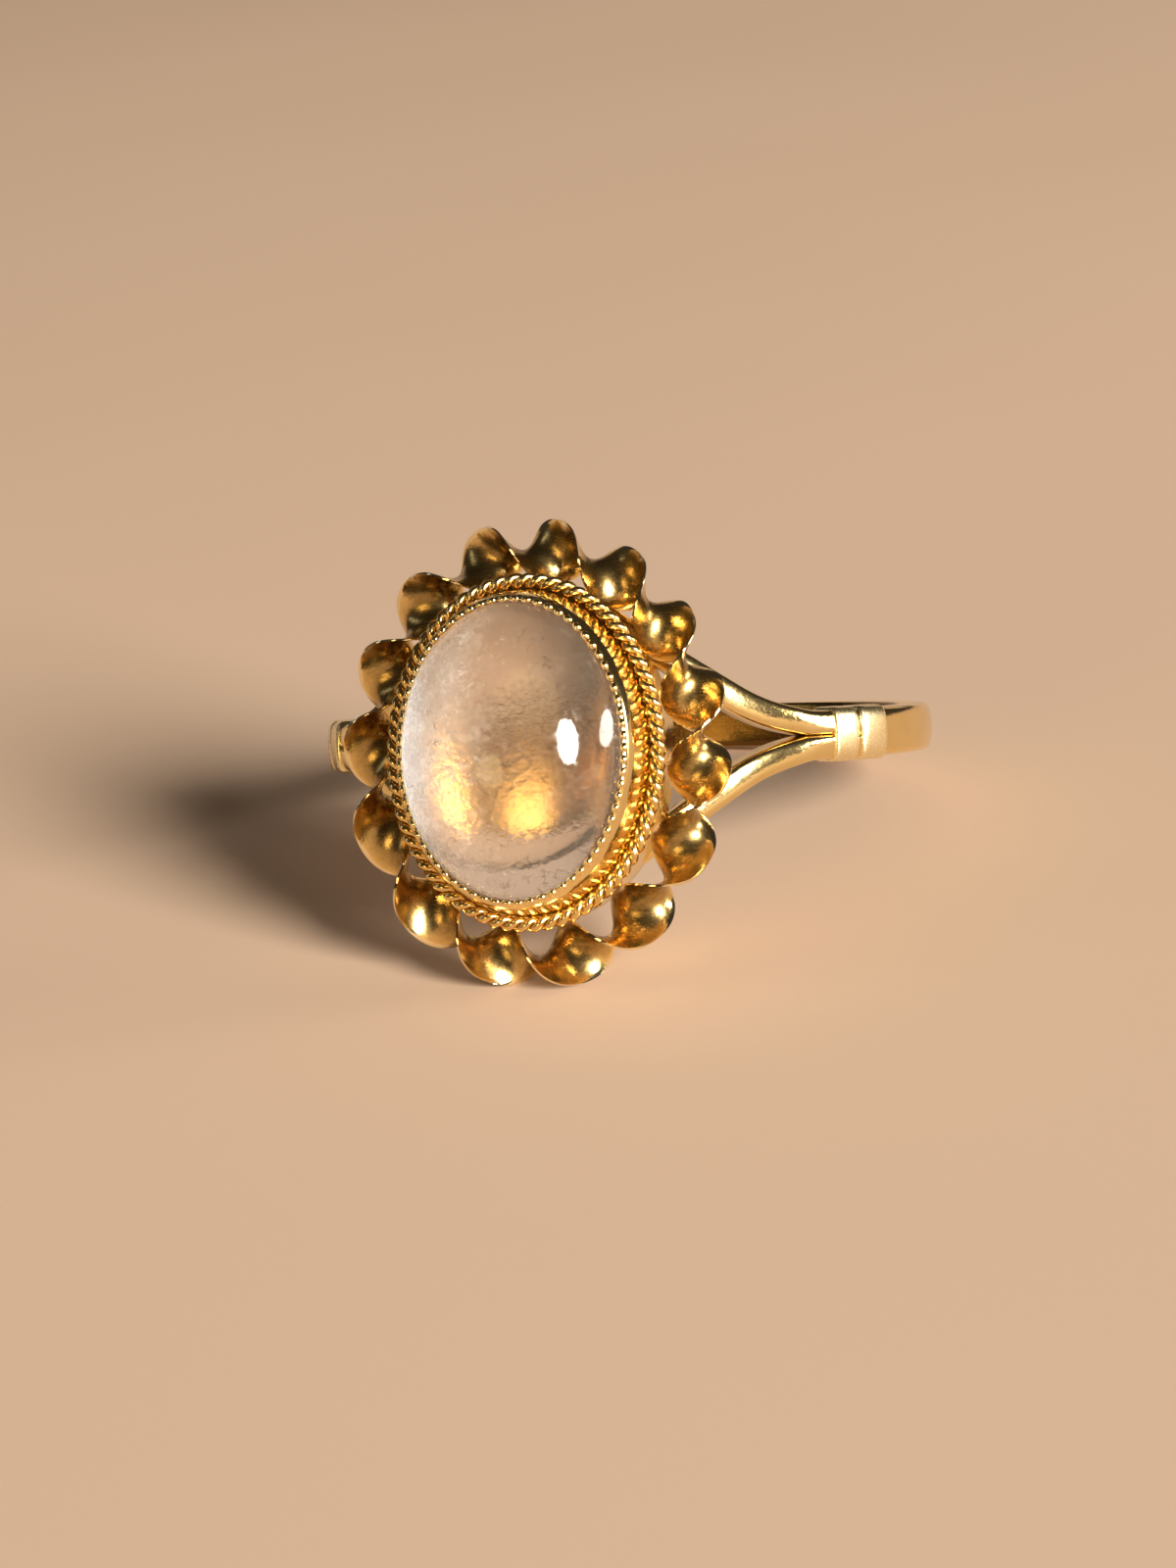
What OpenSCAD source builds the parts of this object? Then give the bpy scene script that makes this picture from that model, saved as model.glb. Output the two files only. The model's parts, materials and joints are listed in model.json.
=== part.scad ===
// A gold ring with an oval cabochon. The stone sits in a bezel with a turned-over lip, a
// twisted wire runs round the bezel, and a twisted ribbon makes a frame of lobes round it.
// The ring is built about its finger axis, Z, with the head towards -Y, and then laid on its
// side, where it rests on two lobes and on the back of the band. Heights are distances from
// the finger axis towards the head. Offsets are distances outward from the stone's oval edge.

/* [Band] */
// Inside diameter of the band
finger_d = 17.3; // [15.5:0.1:21]
// Thickness of the band, from the finger outward
band_t = 1.1; // [0.9:0.05:1.4]
// Width of the band, along the finger
band_w = 1.5; // [1.3:0.05:2]
// How much flatter the outer face is than half round, as added radius
band_flatness = 0.15; // [0.1:0.05:0.5]

/* [Collars] */
// Angle from the middle of the head to the first collar
collar_angle = 54.8; // [52:0.2:60]
// Length of the first collar along the band
collar_1_len = 1.3; // [0.8:0.1:2]
// Length of the second collar along the band
collar_2_len = 1; // [0.6:0.1:2]
// Groove between the two collars
collar_groove = 0.27; // [0.1:0.01:0.5]
// How far the collars stand out from the band
collar_proud = 0.08; // [0.04:0.01:0.2]

/* [Split shoulders] */
// Width of one arm of the fork
arm_w = 0.8; // [0.76:0.02:1.1]
// Thickness of an arm, from the finger outward
arm_t = 1.04; // [0.9:0.02:1.3]
// Radius of the outer edge where an arm bends away from the band
arm_bend_r = 4.05; // [3.4:0.05:5]
// How far inside the band's side the outer edge of an arm begins
arm_tuck = 0.04; // [0.02:0.01:0.1]
// Angle that an arm bends through before it runs straight
arm_bend_angle = 38; // [30:1:40]
// Height where an arm's outer face meets the leaning gallery, above the gallery's lower edge
arm_meet = 0.52; // [0.4:0.01:0.7]
// Length of an arm inside the gallery's wall
arm_sunk = 0.6; // [0.3:0.05:0.8]
// Angle from the middle of the head where the band ends and the fork begins
fork_root_angle = 46; // [44:0.5:50]
// Angle from the middle of the head where the fork is open right through
fork_open_angle = 38; // [36:0.5:42]
// Thickness of the web in the root of the fork
web_t = 0.45; // [0.3:0.05:0.8]
// How far the ends of the arms and webs run into the metal behind them
root_sunk = 0.1; // [0.05:0.01:0.3]

/* [Stone] */
// Length of the stone, along the finger
stone_len = 9; // [7:0.1:11]
// Width of the stone, round the finger
stone_w = 7; // [6:0.1:9]
// Height of the stone's straight side below the dome
stone_side = 0.8; // [0.5:0.05:1.2]
// Height of the dome
stone_dome = 2.75; // [2.2:0.05:3.5]
// Gap between the stone and the metal
stone_gap = 0.02; // [0.01:0.01:0.05]

/* [Setting] */
// Angle that the head leans back from the band, about the middle of its lip
head_lean = 4.5; // [0:0.5:6]
// Height of the gallery's lower edge above the finger circle
base_lift = 0.52; // [0.4:0.01:0.8]
// Height of the gallery, from its lower edge to the shelf that carries the rope
gallery_h = 2.02; // [1.8:0.02:2.5]
// Height of the flare between the gallery's straight wall and the shelf
flare_h = 0.62; // [0.4:0.02:0.9]
// Thickness of the gallery's wall
gallery_wall = 0.45; // [0.3:0.05:0.6]
// Thickness of the ledge that carries the stone
ledge_t = 0.5; // [0.3:0.05:0.8]
// How far the ledge reaches in under the stone
ledge_in = 0.7; // [0.4:0.05:1]
// Thickness of the bezel wall at the shelf
bezel_wall = 0.33; // [0.28:0.01:0.4]
// Height of the bezel above the shelf
bezel_h = 1.7; // [1.4:0.02:2]
// How far the bezel wall leans in, up to its lip
bezel_lean = 0.22; // [0.15:0.01:0.26]
// Height of the lip's sloping face
lip_h = 0.36; // [0.2:0.02:0.5]
// Width of the lip's sloping face
lip_w = 0.29; // [0.2:0.01:0.35]

/* [Rope] */
// Diameter of the rope
rope_d = 0.46; // [0.36:0.02:0.6]
// Length of one strand's bump along the rope
rope_bump = 0.41; // [0.36:0.01:0.6]
// Gap between the rope and what it lies against
rope_gap = 0.02; // [0.01:0.01:0.05]

/* [Ribbon frame] */
// Width of the flat strip
ribbon_w = 1.9; // [1.5:0.05:2.1]
// Thickness of the strip
ribbon_t = 0.14; // [0.1:0.01:0.2]
// Depth of the strip's centre line below the shelf
ribbon_drop = 0.73; // [0.65:0.01:0.9]
// Gap between the turning strip and the rope
ribbon_gap = 0.2; // [0.12:0.01:0.3]
// Gap between the turning strip and the gallery
gallery_gap = 0.1; // [0.05:0.01:0.2]
// How long the strip dwells flat at each lobe, in degrees of turn
lobe_dwell = 8; // [0:1:20]
// Depth of the hollow that is pressed into each lobe
lobe_cup = 0.25; // [0.1:0.05:0.4]

/* [Hidden] */
$fn = 96;

// Where the middle of each lobe lies, clockwise from the top of the head as seen from the
// front, as a share of the strip's whole length times the number of lobes. Two lobes lie
// evenly about the bottom, so the ring rests on both.
LOBE_AT = 0;
LOBES = [
    [0.25], [1.25], [2.17], [3.12], [4.05],
    [5.05], [6.07], [7.03], [7.97], [9.0],
    [10.2], [11.3], [12.3], [13.3], [14.4]
];
lobe_count = len(LOBES);
lobe_rings = 20;

// Corners of the rope's section, as [angle, radius as a share of the rope's radius]
STRAND_ANGLE = 0;
STRAND_SHARE = 1;
STRAND_SECTION = [[0, 1], [52, 0.74], [128, 0.74], [180, 1], [232, 0.74], [308, 0.74]];
bump_rings = 4;

finger_r = finger_d / 2;
band_r = finger_r + band_t;
arm_r = finger_r + arm_t;
// What is under the band's outer face starts inside the finger circle, and one bore cuts it
under_r = finger_r - band_t / 2;
// An arm's straight faces cross the circles by this much
lift_cross = 0.03;
dome_r = band_w / 2 + band_flatness;
dome_x = band_r - dome_r;
band_edge_x = dome_x + sqrt(pow(dome_r, 2) - pow(band_w / 2, 2));

stone_semi_x = stone_w / 2;
stone_semi_z = stone_len / 2;

base_at = finger_r + base_lift;
shelf_at = base_at + gallery_h;
ledge_at = shelf_at - ledge_t;
girdle_at = shelf_at + stone_side;
lip_at = shelf_at + bezel_h;

bezel_out = stone_gap + bezel_wall;
bezel_slope = atan2(bezel_lean, bezel_h - lip_h);
// The rope is as far from the leaning wall as from the shelf
rope_clear = rope_gap + rope_d / 2;
rope_out = bezel_out + rope_clear * (1 - sin(bezel_slope)) / cos(bezel_slope);
rope_at = shelf_at + rope_clear;

ribbon_at = shelf_at - ribbon_drop;
ribbon_reach = norm([ribbon_w, ribbon_t]) / 2;
ribbon_clear = ribbon_reach + ribbon_gap + rope_d / 2;
ribbon_out = rope_out + sqrt(pow(ribbon_clear, 2) - pow(rope_at - ribbon_at, 2));
gallery_out = ribbon_out - ribbon_reach - gallery_gap;

// An oval at an offset from the stone's edge, as half its width and half its length
function semi(offset) = [stone_semi_x + offset, stone_semi_z + offset];

// A point on an oval, clockwise from the top as seen from the front, and the outward direction
function oval_point(offset, t) = [semi(offset).x * sin(t), semi(offset).y * cos(t)];
function oval_outward(offset, t) =
    let (n = [semi(offset).y * sin(t), semi(offset).x * cos(t)]) n / norm(n);

// Table of [length along the oval, angle], for finding a place by its share of the length
oval_steps = 360;
function oval_table(offset) = [
    for (i = 0, s = 0; i <= oval_steps;
         s = s + norm(oval_point(offset, (i + 1) * 360 / oval_steps)
                      - oval_point(offset, i * 360 / oval_steps)), i = i + 1)
    [s, i * 360 / oval_steps]
];
function oval_length(table) = table[oval_steps][0];
function oval_angle(table, share) =
    lookup((share - floor(share)) * oval_length(table), table);

// One ring of points across a wire: u is outward from the stone, v is towards the front
function wire_ring(offset, at, t, section) =
    let (p = oval_point(offset, t), n = oval_outward(offset, t))
    [for (c = section) [p.x + n.x * c[0], -at - c[1], p.y + n.y * c[0]]];

// Faces of a closed sweep whose last ring joins the first with its corners shifted. Each quad
// is split along the twist, so that a thin section keeps its thickness between the rings.
function loop_faces(rings, sides, shift) = [
    for (j = [0:rings - 1], i = [0:sides - 1])
    let (k = (i + 1) % sides,
         next = (j + 1) % rings * sides,
         turn = j == rings - 1 ? shift : 0,
         a = j * sides + i, b = j * sides + k,
         c = next + (k + turn) % sides, d = next + (i + turn) % sides)
    each [[a, d, b], [b, d, c]]
];

// The ribbon: share of the oval and turn of the strip at each ring
function lobe_place(k) = LOBES[k % lobe_count][LOBE_AT] + lobe_count * floor(k / lobe_count);
function ribbon_share(k, part) =
    (lobe_place(k) + part * (lobe_place(k + 1) - lobe_place(k))) / lobe_count;
function ribbon_turn(k, part) = 180 * (k + part) - lobe_dwell * sin(360 * part);
// Places across the strip from edge to edge and back, as [share of its width, face]. The
// hollow always opens towards the front, so it changes face from one lobe to the next.
strip_spans = 3;
STRIP_ACROSS = 0;
STRIP_FACE = 1;
STRIP_SECTION = [
    for (face = [1, -1], i = [0:strip_spans]) [face * (1 - 2 * i / strip_spans), face]
];
strip_sides = len(STRIP_SECTION);
function strip_section(turn) = [
    for (c = STRIP_SECTION)
    let (u = c[STRIP_ACROSS] * ribbon_w / 2,
         v = c[STRIP_FACE] * ribbon_t / 2
             - lobe_cup * (1 - pow(c[STRIP_ACROSS], 2)) * cos(turn))
    [u * cos(turn) - v * sin(turn), u * sin(turn) + v * cos(turn)]
];
ribbon_table = oval_table(ribbon_out);
ribbon_points = [
    for (k = [0:lobe_count - 1], i = [0:lobe_rings - 1])
    let (part = i / lobe_rings)
    each wire_ring(ribbon_out, ribbon_at, oval_angle(ribbon_table, ribbon_share(k, part)),
                   strip_section(ribbon_turn(k, part)))
];

// A point of the head once it leans back, as [y, z]
function leaned(y, z) = [
    (y + lip_at) * cos(head_lean) + z * sin(head_lean) - lip_at,
    z * cos(head_lean) - (y + lip_at) * sin(head_lean)
];

// Rest: the ring tips about the back edge of the band until the lowest lobes touch
back_edge = [band_edge_x, -band_w / 2];
rest_tilt = max([
    for (p = ribbon_points)
    let (q = leaned(p.y, p.z)) atan2(back_edge[1] - q[1], back_edge[0] - q[0])
]);
rest_z = back_edge[0] * sin(rest_tilt) - back_edge[1] * cos(rest_tilt);
back_y = dome_x * cos(rest_tilt) + dome_r;
dome_middle = leaned(-girdle_at, 0);
dome_tilt = rest_tilt + head_lean;
front_y = dome_middle[0] * cos(rest_tilt) + dome_middle[1] * sin(rest_tilt)
          - norm([stone_dome * cos(dome_tilt), stone_semi_z * sin(dome_tilt)]);
rest_y = -(back_y + front_y) / 2;

module laid_down() {
    translate([0, rest_y, rest_z]) rotate([-rest_tilt, 0, 0]) children();
}

// The head leans back from the band about the middle of its lip
module lean_back() {
    translate([0, -lip_at, 0]) rotate([-head_lean, 0, 0]) translate([0, lip_at, 0]) children();
}

// Turns a shape that stands on its base so that its height runs towards the head
module to_head(at) {
    rotate([90, 0, 0]) translate([0, 0, at]) children();
}

module oval_prism(offset, from, to) {
    to_head(from)
    scale([semi(offset).x, semi(offset).y, 1]) cylinder(r = 1, h = to - from);
}

// A sloping oval wall, from one offset at its low end to another at its high end. All its
// ovals have the proportions of the one at the third offset, which is the only exact one.
module oval_cone(low, high, exact, from, to) {
    half = semi(exact);
    mean = (half.x + half.y) / 2;
    to_head(from)
    scale([half.x, half.y, 1])
    cylinder(r1 = 1 + (low - exact) / mean, r2 = 1 + (high - exact) / mean, h = to - from);
}

module band_profile(from, proud) {
    intersection() {
        translate([from, -band_w / 2 - proud])
        square([band_r + proud - from, band_w + 2 * proud]);
        translate([dome_x, 0]) circle(r = dome_r + proud);
    }
}

// A stretch of a round profile, from one angle off the head's middle to another
module band_arc(from, sweep) {
    rotate([0, 0, from - 90]) rotate_extrude(angle = sweep) children();
}

module band() {
    band_arc(fork_root_angle, 360 - 2 * fork_root_angle) band_profile(under_r, 0);
}

module collars() {
    arc = 180 / PI / band_r;
    for (side = [0, 1]) mirror([side, 0, 0]) {
        band_arc(collar_angle, collar_1_len * arc) band_profile(under_r, collar_proud);
        band_arc(collar_angle + (collar_1_len + collar_groove) * arc, collar_2_len * arc)
        band_profile(under_r, collar_proud);
    }
}

// An arm's middle line as seen from the front: its bend, then a straight run to the gallery
arm_bend_x = band_r * sin(collar_angle);
arm_bend_z = band_w / 2 - arm_tuck + arm_bend_r;
arm_bend_mid = arm_bend_r + arm_w / 2;
arm_straight = [arm_bend_x - arm_bend_mid * sin(arm_bend_angle),
                arm_bend_z - arm_bend_mid * cos(arm_bend_angle)];

// Length of that straight run, up to the gallery's oval wall
function arm_reach() =
    let (way = [-cos(arm_bend_angle), sin(arm_bend_angle)],
         half = semi(gallery_out),
         p = [arm_straight.x / half.x, arm_straight.y / half.y],
         d = [way.x / half.x, way.y / half.y],
         room = pow(p * d, 2) - (d * d) * (p * p - 1))
    (-(p * d) - sqrt(max(0, room))) / (d * d);
arm_run = arm_reach() + arm_sunk;

// As seen along the finger, the arm's outer face runs straight from where it leaves its circle
// to where it meets the wall, as [distance from the middle, height]. The lean lowers the wall
// at the far arms, and the near arms match them.
arm_lean_drop = (arm_straight.y + arm_reach() * sin(arm_bend_angle)) * sin(head_lean);
arm_at_wall = [arm_straight.x - arm_reach() * cos(arm_bend_angle),
               base_at + arm_meet - arm_lean_drop];
arm_lift_angle = atan2(arm_at_wall.x, arm_at_wall.y) + acos(arm_r / norm(arm_at_wall));

// One arm of the fork as seen from the front
module arm_plan() {
    reach = arm_bend_r + arm_w;
    translate([arm_bend_x, arm_bend_z]) {
        translate([-root_sunk, -reach]) square([2 * root_sunk, arm_w]);
        intersection() {
            difference() {
                circle(r = reach);
                circle(r = arm_bend_r);
            }
            polygon([[0, 0], [0, -2 * reach],
                     [-2 * reach * sin(arm_bend_angle), -2 * reach * cos(arm_bend_angle)]]);
        }
        rotate(-90 - arm_bend_angle)
        translate([arm_bend_r, -arm_run]) square([arm_w, arm_run]);
    }
}

// The shoulders as seen along the finger: round the finger, then straight up to the head
module lifted_disc(r) {
    low = r - lift_cross;
    circle(r = r);
    polygon([[low * sin(arm_lift_angle), -low * cos(arm_lift_angle)],
             [-low * sin(arm_lift_angle), -low * cos(arm_lift_angle)],
             [0, -low / cos(arm_lift_angle)]]);
}

module shoulders() {
    intersection() {
        to_head(0) linear_extrude(height = 2 * band_r)
        for (side = [0, 1], end = [0, 1]) mirror([side, 0]) mirror([0, end]) arm_plan();
        linear_extrude(height = 2 * stone_len, center = true)
        difference() {
            lifted_disc(arm_r);
            lifted_disc(finger_r);
        }
    }
}

module fork_webs() {
    for (side = [0, 1]) mirror([side, 0, 0])
    band_arc(fork_open_angle, fork_root_angle - fork_open_angle + root_sunk * 180 / PI / finger_r)
    translate([under_r, -band_w / 4]) square([finger_r + web_t - under_r, band_w / 2]);
}

module stone_shape(gap, from) {
    oval_prism(gap, from, girdle_at);
    intersection() {
        to_head(girdle_at)
        scale([semi(gap).x, semi(gap).y, stone_dome + gap]) sphere(r = 1);
        to_head(girdle_at)
        translate([-stone_w, -stone_len, 0])
        cube([2 * stone_w, 2 * stone_len, 2 * stone_dome]);
    }
}

// Offsets of the bezel wall's and the lip's outer faces at a height
function wall_offset(at) = bezel_out - bezel_lean * (at - shelf_at) / (bezel_h - lip_h);
function lip_offset(at) = bezel_out - bezel_lean - lip_w * (at - lip_at + lip_h) / lip_h;

// The flare's cone starts one flare lower than the flare, where it is still inside the gallery,
// so that it comes out of the straight wall just where the flare begins
module setting() {
    foot = shelf_at - flare_h / 4;
    over = lip_at + lip_h;
    oval_prism(gallery_out, base_at, shelf_at - flare_h / 2);
    oval_cone(2 * gallery_out - rope_out, rope_out, rope_out, shelf_at - 2 * flare_h, shelf_at);
    intersection() {
        oval_cone(wall_offset(foot), wall_offset(over), bezel_out, foot, over);
        oval_cone(lip_offset(foot - lip_h), lip_offset(lip_at), lip_offset(lip_at),
                  foot - lip_h, lip_at);
    }
}

// The hollow that runs through the setting from the finger side, and the stone's seat
module setting_hollow() {
    oval_prism(gallery_out - gallery_wall, finger_r / 2, ledge_at);
    oval_prism(-ledge_in, finger_r / 2, girdle_at);
    stone_shape(stone_gap, shelf_at);
}

module ring_mount() {
    color("goldenrod") laid_down()
    difference() {
        union() {
            band();
            collars();
            fork_webs();
            shoulders();
            lean_back() setting();
        }
        lean_back() setting_hollow();
        cylinder(r = finger_r, h = 2 * stone_len, center = true);
    }
}

// The rope's two strands turn half round in the length of one bump
module rope() {
    table = oval_table(rope_out);
    bumps = round(oval_length(table) / rope_bump);
    rings = bumps * bump_rings;
    sides = len(STRAND_SECTION);
    points = [
        for (j = [0:rings - 1])
        let (turn = 180 * j / bump_rings)
        each wire_ring(rope_out, rope_at, oval_angle(table, j / rings),
                       [for (c = STRAND_SECTION)
                        c[STRAND_SHARE] * rope_d / 2
                        * [cos(c[STRAND_ANGLE] + turn), sin(c[STRAND_ANGLE] + turn)]])
    ];
    color("gold") laid_down() lean_back()
    polyhedron(points, loop_faces(rings, sides, bumps % 2 * sides / 2));
}

module ribbon_frame() {
    color("peru") laid_down() lean_back()
    polyhedron(ribbon_points, loop_faces(lobe_count * lobe_rings, strip_sides,
                                         lobe_count % 2 * strip_sides / 2));
}

module stone() {
    color("mistyrose") laid_down() lean_back() stone_shape(0, shelf_at + stone_gap);
}

ring_mount();
rope();
ribbon_frame();
stone();
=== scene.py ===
# %% [markdown]
# # A gold ring with an oval cabochon
#
# The ring lies on its side, as it would on a table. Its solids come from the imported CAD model.
# This lesson dresses them: a rounded shank that splits into two arms on each side, a setting
# with a row of fine beads on its lip, a twisted wire, a ribbon that is twisted and hollowed
# into fifteen lobes, and a clear, slightly milky stone with small flaws inside.

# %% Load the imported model
import json
import math

import bmesh
import bpy
import numpy as np
from mathutils import Matrix, Vector


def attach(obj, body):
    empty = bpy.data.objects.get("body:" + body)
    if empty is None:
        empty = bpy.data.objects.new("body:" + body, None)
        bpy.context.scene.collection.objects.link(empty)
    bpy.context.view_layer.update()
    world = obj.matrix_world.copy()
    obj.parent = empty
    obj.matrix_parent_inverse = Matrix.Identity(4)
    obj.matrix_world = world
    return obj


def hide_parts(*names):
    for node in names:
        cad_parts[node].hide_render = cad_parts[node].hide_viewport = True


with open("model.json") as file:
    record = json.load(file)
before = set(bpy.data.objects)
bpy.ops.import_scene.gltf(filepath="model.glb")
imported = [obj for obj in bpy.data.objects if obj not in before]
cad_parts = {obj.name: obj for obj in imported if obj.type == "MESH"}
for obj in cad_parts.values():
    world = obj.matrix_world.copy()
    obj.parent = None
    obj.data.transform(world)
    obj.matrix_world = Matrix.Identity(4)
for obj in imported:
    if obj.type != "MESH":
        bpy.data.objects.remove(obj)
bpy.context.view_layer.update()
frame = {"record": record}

# %% [markdown]
# ## Two drawing boards
#
# A jeweller makes the band and the head apart and solders them together. The same is done
# here, so there are two places to draw, both in millimetres. On the ring board the finger
# axis is Z and the head is towards -Y. On the head board the stone lies flat on XY, and
# height is the distance from the finger's middle. One matrix takes each board to the ring's
# place on the floor. The bore that the CAD record states gives where the finger axis is and
# how far it tips, so nothing has to be measured again.

# %% Sizes that the solids also have, in millimetres
MM = 0.001
bore = frame["record"]["mounts"][0]
finger_r = bore["dims"]["r_mm"]
# the band's thickness and width, and the radius of its dome
band_t, band_w, dome_r = 1.1, 1.5, 0.9
# half the stone's width and length, its straight side and its dome
stone_semi = (3.5, 4.5)
stone_side, stone_dome = 0.8, 2.75
head_lean = math.radians(4.5)
# distances from the finger's middle: the gallery's foot, the ledge that carries the stone, the
# stone's widest oval and the lip
base_at = finger_r + 0.52
shelf_at = base_at + 2.02
girdle_at = shelf_at + stone_side
lip_at = shelf_at + 1.7
# how far outside the stone's oval the gallery's face and the rope's middle are, and how thick
# the gallery's wall and the rope are
gallery_out, gallery_wall = 0.485, 0.45
gallery_in = gallery_out - gallery_wall
rope_d, rope_out = 0.46, 0.562
print("the lip is", round(lip_at, 2), "mm from the finger's middle")

# %% The two boards' places
tilt = math.atan2(bore["axis"][1], bore["axis"][2])
ring_board = (
    Matrix.Translation(bore["pos_m"])
    @ Matrix.Rotation(-tilt, 4, "X")
    @ Matrix.Scale(MM, 4)
)
leaned = (
    Matrix.Translation((0, -lip_at, 0))
    @ Matrix.Rotation(-head_lean, 4, "X")
    @ Matrix.Translation((0, lip_at, 0))
)
head_board = ring_board @ leaned @ Matrix.Rotation(math.radians(90), 4, "X")
print("finger axis tips by", round(math.degrees(tilt), 2), "degrees")

# %% [markdown]
# ## Meshes from rows of points
#
# Most of a ring is a section drawn along a path. A row of points is one section, and a piece
# is a stack of such rows, joined by four-sided faces. This keeps the edges where the maker
# puts them, which matters on polished metal, because every reflection follows the faces.

# %% Turn rows of points into a closed piece
# points closer than this, in metres, are one point
ONE_POINT = 0.2e-6


def faces_between(rows, columns, ring):
    """Four-sided faces between rows; ring joins the last row to the first."""
    faces = []
    for j in range(rows if ring else rows - 1):
        for i in range(columns):
            k, n = (i + 1) % columns, (j + 1) % rows
            faces.append((j * columns + i, j * columns + k, n * columns + k, n * columns + i))
    return faces


def shell(points, ring=False):
    """Points of shape (rows, columns, 3) as a mesh's points and faces, with capped ends."""
    rows, columns = points.shape[:2]
    faces = faces_between(rows, columns, ring)
    if not ring:
        faces.append(tuple(range(columns)))
        faces.append(tuple((rows - 1) * columns + i for i in range(columns)))
    return points.reshape(-1, 3), faces


def dressed(name, mesh, board, material, sharp=40, stands_for=None):
    """Puts a mesh in its place, turns its faces outwards and hands it to the frame."""
    mesh.transform(board)
    work = bmesh.new()
    work.from_mesh(mesh)
    bmesh.ops.remove_doubles(work, verts=work.verts, dist=ONE_POINT)
    bmesh.ops.recalc_face_normals(work, faces=work.faces)
    work.to_mesh(mesh)
    work.free()
    mesh.materials.clear()
    mesh.materials.append(material)
    mesh.polygons.foreach_set("material_index", [0] * len(mesh.polygons))
    mesh.shade_smooth()
    mesh.set_sharp_from_angle(angle=math.radians(sharp))
    piece = bpy.data.objects.new(name, mesh)
    bpy.context.scene.collection.objects.link(piece)
    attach(piece, "root")
    if stands_for:
        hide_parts(stands_for)
    print(name, "has", sum(len(p.vertices) - 2 for p in mesh.polygons), "triangles")


def joined(shells):
    """Several shells as one mesh."""
    mesh = bpy.data.meshes.new("joined")
    points, faces, start = [], [], 0
    for p, f in shells:
        points.append(p)
        faces += [tuple(i + start for i in face) for face in f]
        start += len(p)
    mesh.from_pydata(np.vstack(points).tolist(), [], faces)
    return mesh


def mark(mesh, label, values):
    """Keeps one number for each point of a mesh, for its material or for a tree."""
    mesh.attributes.new(label, "FLOAT", "POINT").data.foreach_set("value", np.ravel(values))


# %% [markdown]
# ## Node sums written as sums
#
# A pattern in a material, and a shape in Geometry Nodes, are both sums done by nodes. Wired
# by hand they are hard to read. Here a socket is wrapped so that + and * add the Math nodes,
# and one method adds any other node with its settings first and its sockets after.

# %% A bench to lay nodes on


class Wire:
    """A socket of a node that can be used in sums."""

    def __init__(self, bench, socket):
        self.bench, self.socket = bench, socket

    def maths(self, operation, *values):
        """A Math node that is fed with these values."""
        sockets = dict(enumerate(values))
        return self.bench.node("ShaderNodeMath", {"operation": operation}, sockets)

    def __add__(self, other):
        return self.maths("ADD", self, other)

    __radd__ = __add__

    def __sub__(self, other):
        return self.maths("SUBTRACT", self, other)

    def __rsub__(self, other):
        return self.maths("SUBTRACT", other, self)

    def __mul__(self, other):
        return self.maths("MULTIPLY", self, other)

    __rmul__ = __mul__

    def __truediv__(self, other):
        return self.maths("DIVIDE", self, other)

    def __pow__(self, other):
        return self.maths("POWER", self, other)

    def to(self, operation, *others):
        """This value through a Math node, such as SINE or MAXIMUM."""
        return self.maths(operation, self, *others)

    def ramp(self, low, high):
        """0 below low, 1 above high, and an even slope between."""
        sockets = {"Value": self, "From Min": low, "From Max": high}
        return self.bench.node("ShaderNodeMapRange", {"clamp": True}, sockets)


class Bench:
    """A node tree on which each node is laid in one call."""

    def __init__(self, tree):
        self.tree = tree
        tree.nodes.clear()

    def plug(self, socket, value):
        """Links a wire to the socket, or sets the socket to a plain value."""
        if isinstance(value, Wire):
            self.tree.links.new(value.socket, socket)
        else:
            socket.default_value = value

    def node(self, kind, settings=None, sockets=None, out=0):
        """A node of this kind, and the wire of one of its outputs."""
        made = self.tree.nodes.new(kind)
        for name, value in (settings or {}).items():
            setattr(made, name, value)
        for key, value in (sockets or {}).items():
            self.plug(made.inputs[key], value)
        return Wire(self, made.outputs[out]) if made.outputs else made

    def vector(self, operation, a, b, out=0):
        """A Vector Math node."""
        return self.node("ShaderNodeVectorMath", {"operation": operation}, {0: a, 1: b}, out)

    def along(self, direction, length):
        """A direction times a length."""
        settings, sockets = {"operation": "SCALE"}, {"Vector": direction, "Scale": length}
        return self.node("ShaderNodeVectorMath", settings, sockets)

    def mix(self, factor, a, b):
        """From colour a to colour b."""
        sockets = {0: factor, 6: a, 7: b}
        return self.node("ShaderNodeMix", {"data_type": "RGBA"}, sockets, 2)

    def noise(self, place, size_mm, detail=2.0, stretch=(1, 1, 1)):
        """Noise with bumps of about this size, from 0 to 1."""
        where = self.vector("MULTIPLY", place, tuple(s / (size_mm * MM) for s in stretch))
        sockets = {"Vector": where, "Scale": 1.0, "Detail": detail}
        return self.node("ShaderNodeTexNoise", {}, sockets)


# %% [markdown]
# ## Gold, in four finishes
#
# The shank is worn bright, and the collars are brushed, which spreads the light that falls on
# them; their gold is also paler, a painted highlight. The ribbon and the rope have darker gold,
# which is painted shade, and brown painted shade in their hollows. One function makes all four:
# it sets the gold's colour, how deep the brown painted shade goes, how fine the dents are and
# how soft the shine.
#
# A piece can carry a "hollow" attribute, 1 in its hollows and 0 on its crests, so the painted
# shade lies in the hollows from whichever side one looks. A "rim" attribute does the
# opposite: there the metal is worn bright, and its paler gold is a painted highlight.

# %% Gold
# paler gold for rims that are worn bright; the paler colour is a painted highlight
WORN_AND_HIGHLIT_GOLD = (0.98, 0.80, 0.46, 1)


def marked(bench, label):
    """The number that mark() kept at each point, or 0 on a piece that has none."""
    settings = {"attribute_name": label, "attribute_type": "GEOMETRY"}
    return bench.node("ShaderNodeAttribute", settings, out="Fac")


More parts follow.
